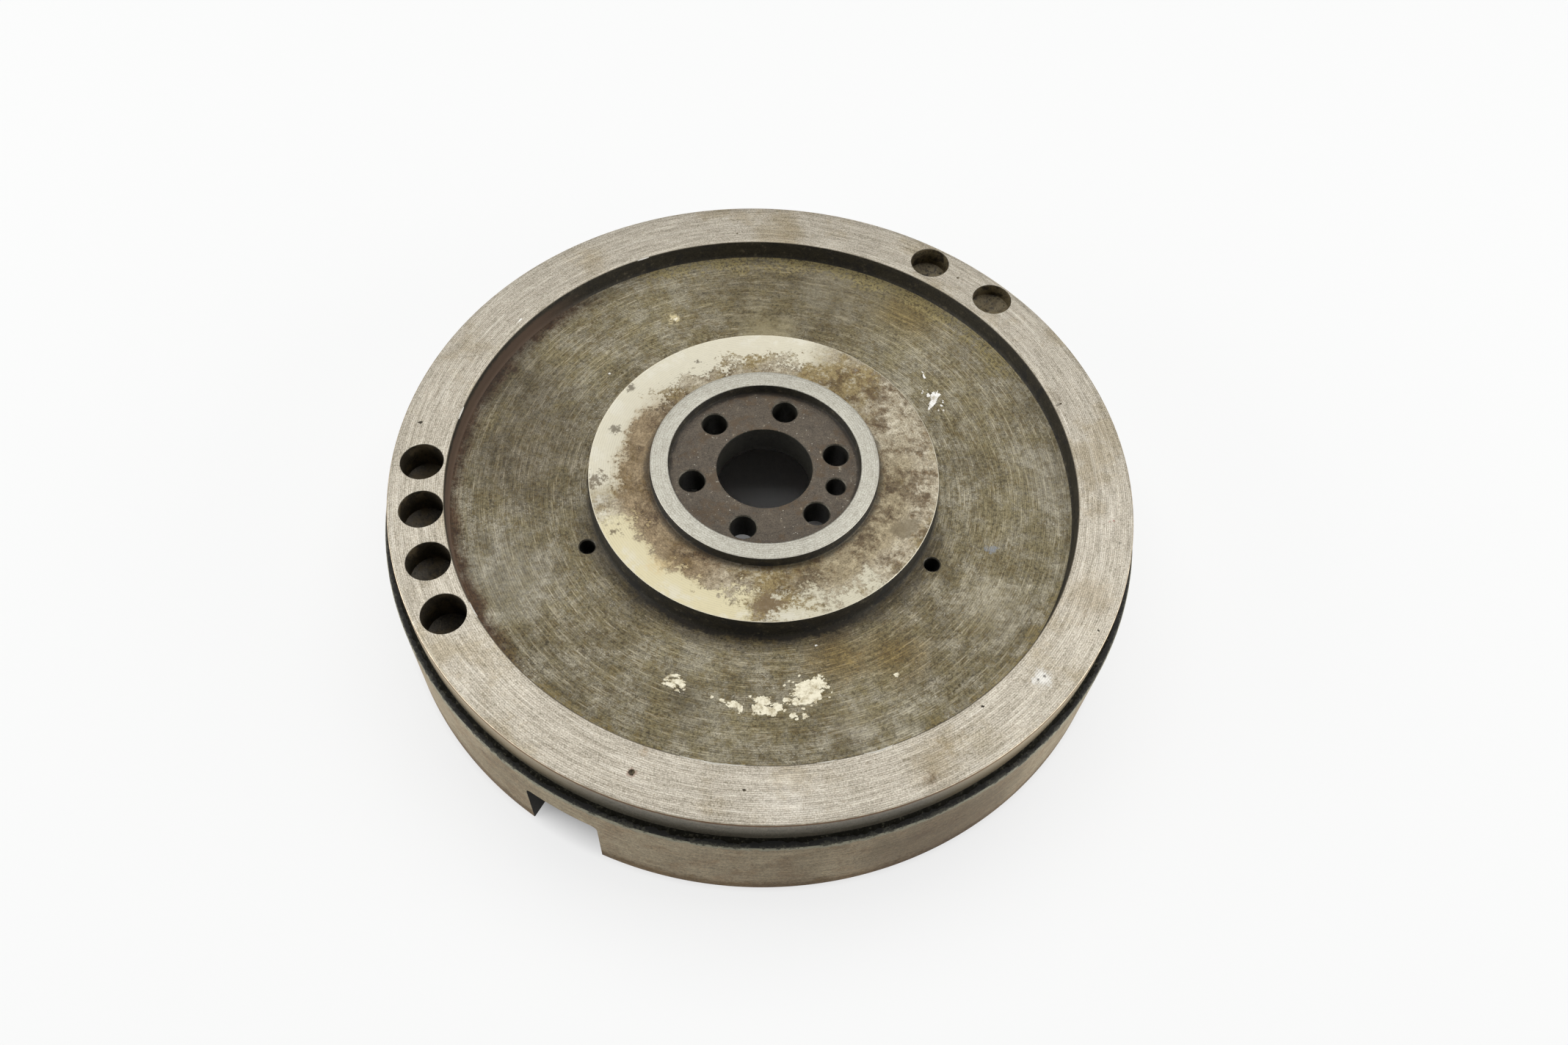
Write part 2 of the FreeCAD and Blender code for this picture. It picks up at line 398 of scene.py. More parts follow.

# turned rim, wiped by hands: pale grey with rings, a few oil marks, painted highlight streaks, and its outer
# edge worn bright and painted with a highlight
rimLayers = (
    bloom("#d8cfb9", 0.6, ("broad", 0.5, 0.62)),
    bloom("#a09684", 0.6, ("speckle", 0.54, 0.68)),
    # pale streaks round the shaft: painted highlight streaks
    fleck("#e4dfd4", 0.14, ("drag", 0.54, 0.66), dull=False),
    fleck("#3f3527", 0.7, ("mottle", 0.67, 0.73)),
    wash((298, 140, rimTop), 7, "#b3a276", 0.55, 14, oilEdge),
    wash((302, 135, rimTop), 4, "#b8a87a", 0.55, 10, oilEdge),
    wash((306, 142, rimTop), 5, "#beb084", 0.35, 12, oilEdge),
    wash((296.5, 145, rimTop), 2, "#8a7048", 0.6, 5, {"mottle": 10.0, "speckle": 6.0}),
    wash((128, 138, rimTop), 6, "#cdbb8d", 0.35, 14),
    wash((20, 132, rimTop), 3, "#8a7a62", 0.6, 8),
    wash((88, 137, rimTop), 6, "#d2c398", 0.3, 14),
    stain((276, 139, rimTop), 8, "#f0ece4", 0.15, 20),
    wash((338, 139, rimTop), 8, "#cbbfa6", 0.5, 16),
    stain((253, 139, rimTop), 1.5, "#6d4a38", 0.6, 1.4, {"mottle": 6.0}),
    stain((253.6, 129.8, rimTop), 1.2, "#8a7352", 0.5, 2.0, {"mottle": 8.0}),
    stain((320.8, 138.2, rimTop), 3.2, "#f1eee6", 0.8, 2.6, {"mottle": 8.0, "speckle": 4.0}, dull=True),
    stain((320.0, 137.6, rimTop), 0.55, "#4a453d", 0.8, 0.5, {"speckle": 2.0}),
    stain((321.2, 138.6, rimTop), 0.5, "#4a453d", 0.8, 0.5, {"speckle": 2.0}),
    stain((353.6, 142, rimTop), 0.5, "#8d2a22", 0.85, 0.5, {"speckle": 3.0}, dull=True),
    stain((353.4, 140.4, rimTop), 0.35, "#8d2a22", 0.85, 0.4, {"speckle": 2.0}, dull=True),
    band("#4a4234", 0.8, "radius", rimInner + 0.7, rimInner + 0.2, dull=False),
    # the outer edge, worn bright and painted with a highlight too
    band("#f6e8cd", 0.95, "radius", seatRadius - 0.55, seatRadius - 0.25, dull=False),
)

# turned web that nothing touches: the lathe's rings under a brown and olive bloom of old oil and light rust,
# with painted highlight streaks, painted shade on the far side and a painted shadow round the platform's foot
webLayers = (
    bloom("#aca393", 0.45, ("broad", 0.42, 0.64)),
    bloom("#e6ddba", 0.9, ("cloud", 0.38, 0.6), dull=True),
    bloom("#cfbf94", 0.75, ("mottle", 0.46, 0.6), ("broad", 0.34, 0.5), dull=True),
    bloom("#978d7e", 0.65, ("mottle", 0.47, 0.36)),
    # pale streaks and arcs on the turning marks: painted highlight streaks where the light catches
    fleck("#c2bba9", 0.3, ("drag", 0.53, 0.64), ("speckle", 0.42, 0.58), dull=False),
    fleck("#c9c1aa", 0.4, ("arcs", 0.55, 0.66), ("mottle", 0.42, 0.56), dull=False),
    fleck("#29241b", 0.7, ("speckle", 0.58, 0.68)),
    fleck("#cfc7b2", 0.5, ("speckle", 0.42, 0.33), ("cloud", 0.56, 0.44), dull=False),
    stain((5, 118, webLevel), 12, "#aaa496", 0.22, 26),
    stain((76, 112, webLevel), 14, "#9f998a", 0.2, 26),
    stain((208, 110, webLevel), 18, "#a29e92", 0.3, 28),
    wash((58, 116, webLevel), 12, "#e2cf8a", 0.8, 18),
    stain((92, 84, webLevel), 9, "#b5ab88", 0.5, 16),
    # painted shade: a broad wash that darkens the far side of the web
    wash((84, 116, webLevel), 46, "#cbc6b9", 0.75, 44),
    wash((176, 98, webLevel), 24, "#b3aaa0", 0.6, 30),
    wash((157, 114, webLevel), 18, "#b0aaa2", 0.6, 26),
    wash((292, 84, webLevel), 9, "#d6c081", 0.9, 16),
    wash((305, 92, webLevel), 10, "#dcc78a", 0.9, 16),
    wash((255, 104, webLevel), 9, "#a8a498", 0.6, 20),
    stain((290, 112, webLevel), 9, "#b9b2a2", 0.18, 20),
    stain((330, 108, webLevel), 12, "#b6ae98", 0.28, 24),
    stain((117, 96.9, webLevel), 2.2, "#d5c79c", 0.8, 2.5, {"mottle": 12.0, "speckle": 6.0}, dull=True),
    stain((344, 96.3, webLevel), 1.8, "#8f949a", 0.7, 2.0, {"mottle": 8.0, "speckle": 5.0}, dull=True),
    band("#a3945f", 0.55, "radius", rimInner - 9, rimInner - 3, where=(("speckle", 0.4, 0.56),),
         sector=(75, 42, 6), ragged={"cloud": 30.0, "mottle": 20.0, "speckle": 10.0}),
    band("#8b5f42", 0.9, "radius", rimInner - 7.5, rimInner - 0.5, sector=(180, 48, 6), ragged=rustEdge,
         blend="MULTIPLY"),
    band("#8b7a4b", 0.55, "radius", rimInner - 5, rimInner - 1.5, where=(("speckle", 0.36, 0.54),),
         sector=(280, 58, 6), ragged={**rustEdge, "speckle": 5.0}),
    # painted shadow: a dark band at the platform's foot on the near side
    band("#221e16", 0.85, "radius", platformRadius + 3.9, platformRadius + 1.5, sector=(266, 36, 16),
         ragged={"cloud": 7.0, "mottle": 5.0, "speckle": 3.0}),
    # painted shade in the corner all round the platform's foot
    band("#2b261c", 0.45, "radius", platformRadius + 1.9, platformRadius + 0.7,
         ragged={"cloud": 5.0, "mottle": 4.0}),
    # painted shadow along with grime: the web darkened below the platform on the near side
    band("#8a7c68", 0.6, "radius", platformRadius + 11, platformRadius + 2.5, sector=(270, 75, 10),
         ragged={"cloud": 20.0, "mottle": 10.0}, blend="MULTIPLY"),
)


# what is left of the cream film in one sector: from how far outside the hub ring it shows, and how torn it is
def filmLeft(colour, amount, faint, full, sector, cloud, mottle, speckle):
    return band(colour, amount, "radius", hubRingRadius + faint, hubRingRadius + full, sector=sector,
                ragged={"cloud": cloud, "mottle": mottle, "speckle": speckle}, film=0.05)


# the platform keeps a cream film, perhaps a sealant or primer, worn through from the hub outwards
platformLayers = (
    bloom("#a09078", 0.8, ("cloud", 0.48, 0.6)),
    bloom("#ebdcab", 0.9, ("broad", 0.46, 0.58), dull=True),
    bloom("#ccb084", 0.7, ("mottle", 0.5, 0.62), ("cloud", 0.42, 0.54), dull=True),
    fleck("#cbc4b0", 0.45, ("mottle", 0.47, 0.38), dull=False),
    fleck("#2b261c", 0.55, ("speckle", 0.58, 0.68)),
    filmLeft("#d3cdb8", 0.95, 9.5, 13, (132, 62, 8), 46.0, 30.0, 20.0),
    filmLeft("#d6cca8", 0.95, 11, 15, (236, 31, 4), 50.0, 26.0, 18.0),
    filmLeft("#cfc9b2", 0.9, 14, 20, (294, 16, 5), 50.0, 30.0, 18.0),
    band("#dbd7c8", 0.5, "radius", hubRingRadius + 16, hubRingRadius + 22, where=(("cloud", 0.52, 0.6),),
         sector=(180, 130, 10), dull=False),
    band("#bfa988", 0.8, "radius", hubRingRadius + 17, hubRingRadius + 9, sector=(200, 54, 12),
         ragged={"cloud": 20.0, "mottle": 12.0}, blend="MULTIPLY", dull=False),
    band("#d0c7b0", 0.8, "radius", hubRingRadius + 18, hubRingRadius + 10, sector=(328, 44, 14),
         ragged={"cloud": 20.0, "mottle": 12.0}, blend="MULTIPLY", dull=False),
    stain((120, 62, platformTop), 1.2, "#4e4433", 0.8, 1.0, {"mottle": 10.0}),
    stain((147, 69, platformTop), 1.6, "#5b513f", 0.8, 1.4, {"mottle": 10.0}),
    stain((166, 64, platformTop), 2.0, "#5b513f", 0.8, 1.6, {"mottle": 14.0}),
    stain((189, 68, platformTop), 3.4, "#5e503a", 0.8, 2.5, {"mottle": 20.0, "speckle": 6.0}),
    stain((211, 67, platformTop), 1.6, "#5e503a", 0.8, 2.0, {"mottle": 16.0, "speckle": 6.0}),
    stain((231, 62, platformTop), 3.0, "#cdb98c", 0.7, 5.0, {"mottle": 20.0}, dull=True),
    stain((274, 63, platformTop), 4.5, "#6d5a40", 0.8, 4.0, {"cloud": 20.0, "mottle": 20.0, "speckle": 8.0}),
    stain((337, 63, platformTop), 3.5, "#5f543e", 0.7, 3.0),
    # painted shade, with dirt, in the corner at the foot of the hub ring
    band("#231d14", 0.55, "radius", hubRingRadius + 2.9, hubRingRadius + 0.8,
         ragged={"cloud": 8.0, "mottle": 5.0}),
    # the outer edge, worn bright and painted with a highlight too
    band("#f0e8d0", 0.85, "radius", platformRadius - 0.55, platformRadius - 0.25, dull=False),
)

ironMaterials = {
    "rim": agedIron(
        "turnedIronRim", "#c9c2b4", "#736c5d", lineAmount=0.5, lineColour="#5c5547", linePitch=0.8,
        layers=rimLayers, spread=0.115, tone={"grain": 0.4, "speckle": 0.3, "arcs": 0.3}),
    "web": agedIron(
        "oilStainedIronWeb", "#b2ab94", "#5a5443", lineAmount=0.42, lineColour="#38322a", linePitch=0.9,
        layers=webLayers, metallic=0.5, roughness=0.5, spread=0.11,
        tone={"grain": 0.2, "speckle": 0.5, "arcs": 0.3}),
    # walls that no cloth reaches: soot and oil, and painted shade, make them nearly black, with brown rust on
    # one side
    "wall": agedIron(
        "sootyIronWall", "#433e31", "#191711", metallic=0.3, roughness=0.6,
        layers=(fleck("#0e0c09", 0.7, ("cloud", 0.5, 0.6)),
                fleck("#6d6450", 0.5, ("mottle", 0.58, 0.68)),
                fleck("#65503f", 0.8, sector=(182, 44, 8), ragged={"mottle": 5.0},
                      along=(("height", rimTop - 1.2, rimTop - 4.0),
                             ("radius", rimInner - 4, rimInner - 3))))),
    "platform": agedIron(
        "handledIronPlatform", "#b8ae97", "#675d49", lineAmount=0.14, layers=platformLayers, metallic=0.5,
        tone={"grain": 0.4, "speckle": 0.4, "arcs": 0.2}),
    # faced last and kept clean under the crankshaft: the palest and most even iron, with a bright outer edge,
    # worn and painted with a highlight
    "hub": agedIron(
        "facedIronHub", "#b9b7ac", "#868276", lineAmount=0.25, roughness=0.5,
        layers=(fleck("#6d675a", 0.5, ("mottle", 0.6, 0.7)),
                # the outer edge, worn bright and painted with a highlight too
                band("#efe9da", 0.45, "radius", hubRingRadius - 0.55, hubRingRadius - 0.2, dull=False))),
    # under the crankshaft flange: brown varnish of baked oil, pale crumbs of sealant, dark in the corner
    "register": agedIron(
        "sealedIronRegister", "#655a4b", "#322b22", metallic=0.3, roughness=0.58,
        layers=(fleck("#57452f", 0.6, ("cloud", 0.5, 0.6)),
                fleck("#cfcabb", 0.85, ("speckle", 0.67, 0.72)),
                fleck("#a39a84", 0.6, ("mottle", 0.62, 0.7)),
                band("#16130f", 0.7, "radius", registerRadius - 1.8, registerRadius - 0.4,
                     ragged={"cloud": 5.0}))),
    # bored and drilled walls, wet with oil: dark, with a dull sheen
    "bore": agedIron("oiledIronBore", "#3f3d34", "#1d1c17", metallic=0.4, roughness=0.5),
    # broken edges of holes, rubbed by bolts and fingers: a thin line between dark and pale
    "holeEdge": agedIron("rubbedHoleEdge", "#716b5e", "#3c382f", metallic=0.6, roughness=0.5, drawnOut=0),
    # a fresh knock shows clean iron: the brightest spot on the part
    "bright": agedIron("freshlyNickedIron", "#e9e6dd", "#cfcbc0", metallic=0.2, roughness=0.4, drawnOut=0),
    # twist-drilled and never cleaned: brown-black, with painted light making the two shallow drillings paler
    "drilled": agedIron(
        "drilledIron", "#544b3b", "#17140f", metallic=0.4, roughness=0.5, drawnOut=0,
        layers=(fleck("#62543a", 0.7, ("cloud", 0.5, 0.6)),
                # painted light: the two shallow drillings, at one side, paler
                fleck("#857859", 0.6, ("mottle", 0.4, 0.56), sector=(50, 16, 4), dull=False),
                fleck("#12100c", 0.8, ("mottle", 0.54, 0.66)))),
    # where the ring gear gripped: smooth and shiny, with pale painted highlights at both sides, brown along
    # the top edge
    "seat": agedIron(
        "turnedIronSeat", "#8a8372", "#504b40", metallic=0.8, roughness=0.4, drawnOut=0.8, grainTurn=0.0,
        lineAmount=0.3, linePitch=0.7,
        # pale tan painted highlights at both sides, where the wall catches the light
        layers=(band("#d3bf9b", 0.75, "height", shoulder - 1, shoulder + 4, dull=False, sector=(325, 19, 14),
                     ragged={"cloud": 6.0}),
                band("#d3bf9b", 0.7, "height", shoulder + 1, shoulder + 6, dull=False, sector=(218, 19, 16),
                     ragged={"cloud": 6.0}),
                band("#6e4a28", 0.8, "height", rimTop - 1.6, rimTop - 0.7, ragged={"cloud": 1.5}),
                band("#25231c", 0.25, "height", shoulder + 6, shoulder + 1.5, ragged={"cloud": 8.0}))),
    # the step below the seat holds grease and clutch dust: nearly black and quite matt
    "shoulder": agedIron(
        "greasyIronShoulder", "#4b4a3f", "#15140f", metallic=0.1, roughness=0.7, drawnOut=0,
        layers=(band("#0f0e0b", 0.9, "radius", skirtRadius - 0.3, skirtRadius - 1.3,
                     ragged={"mottle": 8.0, "cloud": 6.0, "speckle": 4.0}),)),
    # turned skirt, stored and handled: dull tan-grey, browner low down, grimy under the shoulder
    "skirt": agedIron(
        "turnedIronSkirt", "#b8a98b", "#695d46", metallic=0.5, roughness=0.55, lineAmount=0.35, linePitch=1.1,
        drawnOut=0.6, tone={"grain": 0.35, "speckle": 0.35, "arcs": 0.3},
        layers=(bloom("#b9b09a", 0.5, ("broad", 0.44, 0.64)),
                wash((299, skirtRadius, 18), 30, "#a3957e", 0.8, 34),
                bloom("#c6a67c", 0.5, ("cloud", 0.44, 0.66)),
                band("#b09a7a", 0.9, "height", 10.0, 2.0, ragged={"cloud": 24.0, "mottle": 8.0},
                     blend="MULTIPLY"),
                band("#949888", 0.6, "height", shoulder - 3.0, shoulder - 1.2,
                     ragged={"mottle": 6.0, "cloud": 6.0}),
                band("#23221b", 0.85, "height", shoulder - 1.0, shoulder + 0.4,
                     ragged={"mottle": 7.0, "cloud": 7.0, "speckle": 4.0}))),
    # sawn slot, full of old dust: flat and black
    "notch": agedIron("sawnIronNotch", "#2b261c", "#100e0a", metallic=0.0, roughness=0.85, drawnOut=0),
    # the side under the clutch: dry brown lining dust over turned iron
    "clutch": agedIron(
        "dustyIronClutchSide", "#7a6a57", "#3f3529", metallic=0.3, roughness=0.62, lineAmount=0.3,
        layers=(fleck("#4f3a26", 0.6, ("cloud", 0.48, 0.6)),
                fleck("#2c2a28", 0.6, ("broad", 0.5, 0.6)))),
    # face ground flat and polished by the disc: bright rings, blued by heat in places
    "friction": agedIron(
        "groundIronFriction", "#b3b1aa", "#75736d", roughness=0.36, lineAmount=0.45, linePitch=0.7,
        metallic=0.85, tone={"grain": 0.3, "arcs": 0.7},
        layers=(fleck("#4a4c55", 0.5, ("broad", 0.52, 0.6), dull=False),
                fleck("#6f5a3a", 0.4, ("cloud", 0.55, 0.64), dull=False))),
}
print("iron finishes ready:", len(ironMaterials))


def solidObject(name, points, faces, materials=()):
    mesh = bpy.data.meshes.new(name)
    mesh.from_pydata([tuple(Vector(point) * mm) for point in points], [], faces)
    mesh.validate()
    body = bpy.data.objects.new(name, mesh)
    bpy.context.scene.collection.objects.link(body)
    for material in materials:
        mesh.materials.append(material)
    return body


# edges that turn more sharply than the angle stay crisp
def finishPiece(body, sharpAngle):
    body.data.polygons.foreach_set("use_smooth", [True] * len(body.data.polygons))
    body.data.set_sharp_from_angle(angle=math.radians(sharpAngle))
    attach(body, "root")


# a section, as a loop of points, carried round the shaft in even segments
def ringFaces(segments, rows):
    faces = []
    for step in range(segments):
        here, after = step * rows, (step + 1) % segments * rows
        for row in range(rows):
            upper = (row + 1) % rows
            faces.append((here + row, after + row, after + upper, here + upper))
    return faces


# a corner is (radius, level, size of its round, zone of the run that follows it)
def roundedProfile(corners, step):
    points, zones = [], []
    for index, (radius, level, size, zone) in enumerate(corners):
        here = Vector((radius, level))
        lastCorner, nextCorner = corners[index - 1], corners[(index + 1) % len(corners)]
        toLast = (Vector(lastCorner[:2]) - here).normalized()
        toNext = (Vector(nextCorner[:2]) - here).normalized()
        if size > 0:
            centre = here + (toLast + toNext) * size
            arcSteps = casting["smallRoundSteps"] if size < casting["smallRound"] else casting["roundSteps"]
            for part in range(arcSteps + 1):
                turn = math.pi / 2 * part / arcSteps
                points.append(centre - toNext * size * math.cos(turn) - toLast * size * math.sin(turn))
                zones.append(lastCorner[3] if part < arcSteps / 2 else zone)
        else:
            points.append(here)
            zones.append(zone)
        start = points[-1]
        end = Vector(nextCorner[:2]) - toNext * nextCorner[2]
        parts = max(1, math.ceil((end - start).length / step))
        for part in range(1, parts):
            points.append(start.lerp(end, part / parts))
            zones.append(zone)
    return points, zones


def turnedCasting():
    worn, fillet, corner = casting["wornEdge"], casting["castFillet"], casting["cornerFillet"]
    headRecess = boltCircle + casting["boltHeadRoom"]
    corners = [
        (boreRadius, hubUnderside, worn, "clutch"),
        (headRecess, hubUnderside, fillet, "clutch"),
        (headRecess, recessLevel, worn, "clutch"),
        (recessRadius, recessLevel, fillet, "clutch"),
        (recessRadius, frictionLevel, worn, "friction"),
        (coverRing, frictionLevel, corner, "clutch"),
        (coverRing, coverFace, worn, "friction"),
        (lipInner, coverFace, corner, "clutch"),
        (lipInner, 0, worn, "skirt"),
        (skirtRadius, 0, worn, "skirt"),
        (skirtRadius, shoulder, casting["shoulderEdge"], "shoulder"),
        (reliefRadius, shoulder, 0, "seat"),
        (reliefRadius, reliefTop, 0, "seat"),
        (seatRadius, reliefTop, 0, "seat"),
        (seatRadius, rimTop, worn, "rim"),
        (rimInner, rimTop, casting["rimInnerEdge"], "wall"),
        (rimInner, webLevel, fillet, "web"),
        (platformRadius, webLevel, fillet, "wall"),
        (platformRadius, platformTop, worn, "platform"),
        (hubRingRadius, platformTop, corner, "wall"),
        (hubRingRadius, hubTop, worn, "hub"),
        (registerRadius, hubTop, worn, "wall"),
        (registerRadius, crankSeat, corner, "register"),
        (boreRadius, crankSeat, worn, "bore"),
    ]
    profile, zones = roundedProfile(corners, casting["runStep"])
    segments = casting["segments"]
    points = []
    for step in range(segments):
        turn = 2 * math.pi * step / segments
        points += [(p.x * math.cos(turn), p.x * math.sin(turn), p.y) for p in profile]
    body = solidObject("flywheelCasting", points, ringFaces(segments, len(profile)), ironMaterials.values())
    zoneNames = list(ironMaterials)
    body.data.polygons.foreach_set("material_index", [zoneNames.index(zone) for zone in zones] * segments)
    return body


# holes, drillings, threads and the slot, in millimetres and degrees
cutting = {
    "overshoot": 1.0,
    "holeEdge": 0.45,
    "sides": 72,
    "dowelAngle": 345.9,
    "firstBolt": 16.2,
    "webHoleRadius": 3.15,
    "webHoleAngles": (207.3, 333.1),
    "drillRadius": 8.6,
    "drillPoint": 140.0,
    "drillEdge": 0.15,
    "drillPip": 0.9,        # the chisel edge of the drill leaves a pip in the middle
    "drillPipDepth": 0.8,
    # angle, offset from the rim's middle, depth
    "drillings": ((182.3, -1.1, 13.5), (191.9, -2.1, 12.2), (202.2, -2.1, 11.5),
                  (212.4, -0.6, 15.5), (59.8, 1.0, 9.0), (45.8, 1.4, 6.0)),
    "firstCoverBolt": 33.7,
    "threadPitch": 1.25,
    "threadDepth": 0.62,
    "threadLength": 14.0,
    "threadSides": 36,
    "threadSteps": 8,       # rows of points in one pitch
    "firstDowel": 63.7,
    "dowelCount": 3,
    "dowelRadius": 4.0,
    "dowelSeat": 12.0,
    "dowelPoint": 2.0,
    "notchAngle": 243.7,
    "notchWidth": 30.9,
    "notchHeight": 29.6,
    "notchCorner": 3.0,
    "notchCornerSteps": 6,
    "notchInside": 0.5,     # the cutter starts this far inside the ring
}


# faces of a closed shape about an axis: points 0 and 1 are its poles, then each side has its rows of points
def poledFaces(sides, rows):
    faces = []
    for side in range(sides):
        here, after = 2 + side * rows, 2 + (side + 1) % sides * rows
        faces.append((0, here, after))
        faces += [(here + row, here + row + 1, after + row + 1, after + row) for row in range(rows - 1)]
        faces.append((1, after + rows - 1, here + rows - 1))
    return faces


# a closed turned shape about +Z, from (radius, level) points that start and end on the axis
# zones names the iron that each run from point to point leaves behind
def turnedCutter(name, outline, zones, sides):
    points = [(0, 0, outline[0][1]), (0, 0, outline[-1][1])]
    inner = outline[1:-1]
    for side in range(sides):
        turn = 2 * math.pi * side / sides
        points += [(r * math.cos(turn), r * math.sin(turn), z) for r, z in inner]
    names = sorted(set(zones))
    cutter = solidObject(name, points, poledFaces(sides, len(inner)), [ironMaterials[zone] for zone in names])
    cutter.data.polygons.foreach_set("material_index", [names.index(zone) for zone in zones] * sides)
    return cutter


def placeCutter(cutter, place, below=False):
    flip = Matrix.Rotation(math.pi, 4, "X") if below else Matrix.Identity(4)
    cutter.data.transform(Matrix.Translation(Vector(place) * mm) @ flip)
    return cutter


def throughHole(name, radius, low, high, place):
    over, edge = cutting["overshoot"], cutting["holeEdge"]
    wide = radius + edge + over
    outline = [(0, high + over), (wide, high + over), (radius, high - edge),
               (radius, low + edge), (wide, low - over), (0, low - over)]
    zones = ["bore", "holeEdge", "bore", "holeEdge", "bore"]
    return placeCutter(turnedCutter(name, outline, zones, cutting["sides"]), place)


# the drill's point leaves a shallow cone
def balanceDrilling(name, depth, place):
    radius, over, edge, pip = (cutting[key] for key in ("drillRadius", "overshoot", "drillEdge", "drillPip"))
    slope = 1 / math.tan(math.radians(cutting["drillPoint"] / 2))
    coneEnd = -depth - (radius - pip) * slope
    outline = [(0, over), (radius + edge + over, over), (radius, -edge), (radius, -depth),
               (pip, coneEnd), (0, coneEnd - cutting["drillPipDepth"])]
    zones = ["drilled", "holeEdge"] + ["drilled"] * 3
    return placeCutter(turnedCutter(name, outline, zones, cutting["sides"]), place)


# a tapped hole: the wall follows the thread round and up, and opens into a small countersink
def tappedHole(name, radius, place):
    pitch, depth, length = cutting["threadPitch"], cutting["threadDepth"], cutting["threadLength"]
    over, sides = cutting["overshoot"], cutting["threadSides"]
    stepCount = round(length / pitch * cutting["threadSteps"])
    levels = [over] + [-length * step / stepCount for step in range(stepCount + 1)]
    points = [(0, 0, over), (0, 0, -length - radius * 0.6)]
    for side in range(sides):
        share = side / sides
        turn = 2 * math.pi * share
        for level in levels:
            phase = (level / pitch + share) % 1
            reach = radius + depth * (1 - abs(2 * phase - 1))
            if level > -pitch:
                reach = max(reach, radius + depth + (level + pitch) * 0.5)
            points.append((reach * math.cos(turn), reach * math.sin(turn), level))
    cutter = solidObject(name, points, poledFaces(sides, len(levels)), [ironMaterials["bore"]])
    return placeCutter(cutter, place, below=True)


def dowelSeat(name, place):
    radius, over, depth = cutting["dowelRadius"], cutting["overshoot"], cutting["dowelSeat"]
    outline = [(0, over), (radius, over), (radius, -depth), (0, -depth - cutting["dowelPoint"])]
    return placeCutter(turnedCutter(name, outline, ["bore"] * 4, cutting["threadSides"]), place, below=True)


def notchCutter():
    half, top, corner = cutting["notchWidth"] / 2, cutting["notchHeight"], cutting["notchCorner"]
    over, cornerSteps = cutting["overshoot"], cutting["notchCornerSteps"]
    start = math.sqrt(coverRing ** 2 - half ** 2) - cutting["notchInside"]
    section = [(-half, -over), (half, -over)]
    for side in (1, -1):
        arc = []
        for step in range(cornerSteps + 1):
            turn = math.pi / 2 * step / cornerSteps
            across = half - corner + corner * math.cos(turn)
            arc.append((side * across, top - corner + corner * math.sin(turn)))
        section += arc if side > 0 else arc[::-1]
    count = len(section)
    points = [(x, depth, z) for depth in (start, skirtRadius + over) for x, z in section]
    faces = [tuple(range(count)), tuple(range(2 * count - 1, count - 1, -1))]
    faces += [(i, i + count, (i + 1) % count + count, (i + 1) % count) for i in range(count)]
    cutter = solidObject("notchCutter", points, faces, [ironMaterials["notch"]])
    cutter.data.transform(Matrix.Rotation(math.radians(cutting["notchAngle"] - 90), 4, "Z"))
    return cutter


def holeCutters():
    cutters = [throughHole("boltHole%d" % index, crankBolts["hole_r_mm"], hubUnderside, crankSeat,
                           circlePoint(angle, boltCircle, 0))
               for index, angle in enumerate(evenAngles(cutting["firstBolt"], crankBolts["count"]))]
    cutters.append(throughHole("dowelHole", radiusOf("crank_dowel_hole"), hubUnderside, crankSeat,
                               circlePoint(cutting["dowelAngle"], boltCircle, 0)))
    cutters += [throughHole("webHole%d" % index, cutting["webHoleRadius"], recessLevel, webLevel,
                            circlePoint(angle, webHoleCircle, 0))
                for index, angle in enumerate(cutting["webHoleAngles"])]
    cutters += [balanceDrilling("balanceDrilling%d" % index, depth,
                                circlePoint(angle, rimMiddle + offset, rimTop))
                for index, (angle, offset, depth) in enumerate(cutting["drillings"])]
    cutters += [tappedHole("coverThread%d" % index, coverBolts["hole_r_mm"],
                           circlePoint(angle, coverCircle, coverFace))
                for index, angle in enumerate(evenAngles(cutting["firstCoverBolt"], coverBolts["count"]))]
    cutters += [dowelSeat("dowelSeat%d" % index, circlePoint(angle, coverCircle, coverFace))
                for index, angle in enumerate(evenAngles(cutting["firstDowel"], cutting["dowelCount"]))]
    return cutters + [notchCutter()]


wear = {
    # dents in the rim: angle, radius, size
    "dents": ((253.0, 139.0, 1.0), (269.6, 137.3, 0.45), (310.0, 131.1, 0.5), (174.4, 142.7, 0.7),
              (53.6, 139.7, 0.6), (19.0, 131.5, 0.5), (333.0, 146.0, 0.4), (98.0, 133.5, 0.4)),
    # radius and level of a dent's wall, as shares of its size, from its mouth down
    "dentWall": ((1.0, 0), (0.8, -0.35), (0.3, -0.6), (0, -0.65)),
    "dentMouth": 1.5,
    "dentSides": 20,
    "dentLumps": 0.6,
    "dentLumpPitch": 1.3,
    "dentStretch": 1.25,
    # bright nicks on the rim's inner edge: angle, depth
    "nicks": ((260.8, 0.45), (264.6, 0.7), (267.6, 0.5), (282.5, 0.4),
              (291.2, 0.75), (214.0, 0.4), (171.0, 0.35), (118.0, 0.3)),
    "nickCurve": 24.0,      # a nick is a shallow scoop of this radius
    "nickReach": 6.0,
    "nickRings": 8,
    "nickHeight": 4.0,
    "nickSides": 48,
}


def dentCutter(name, size, place):
    over, wall = cutting["overshoot"], [(size * reach, size * level) for reach, level in wear["dentWall"]]
    outline = [(0, over), (size * wear["dentMouth"], over)] + wall
    cutter = turnedCutter(name, outline, ["drilled"] * (len(outline) - 1), wear["dentSides"])
    for vertex in cutter.data.vertices:
        where = vertex.co / (size * mm) * wear["dentLumpPitch"] + Vector(place)
        lump = 1 + wear["dentLumps"] * noise.noise(where)
        vertex.co.x *= lump * wear["dentStretch"]
        vertex.co.y *= lump
    return placeCutter(cutter, place)


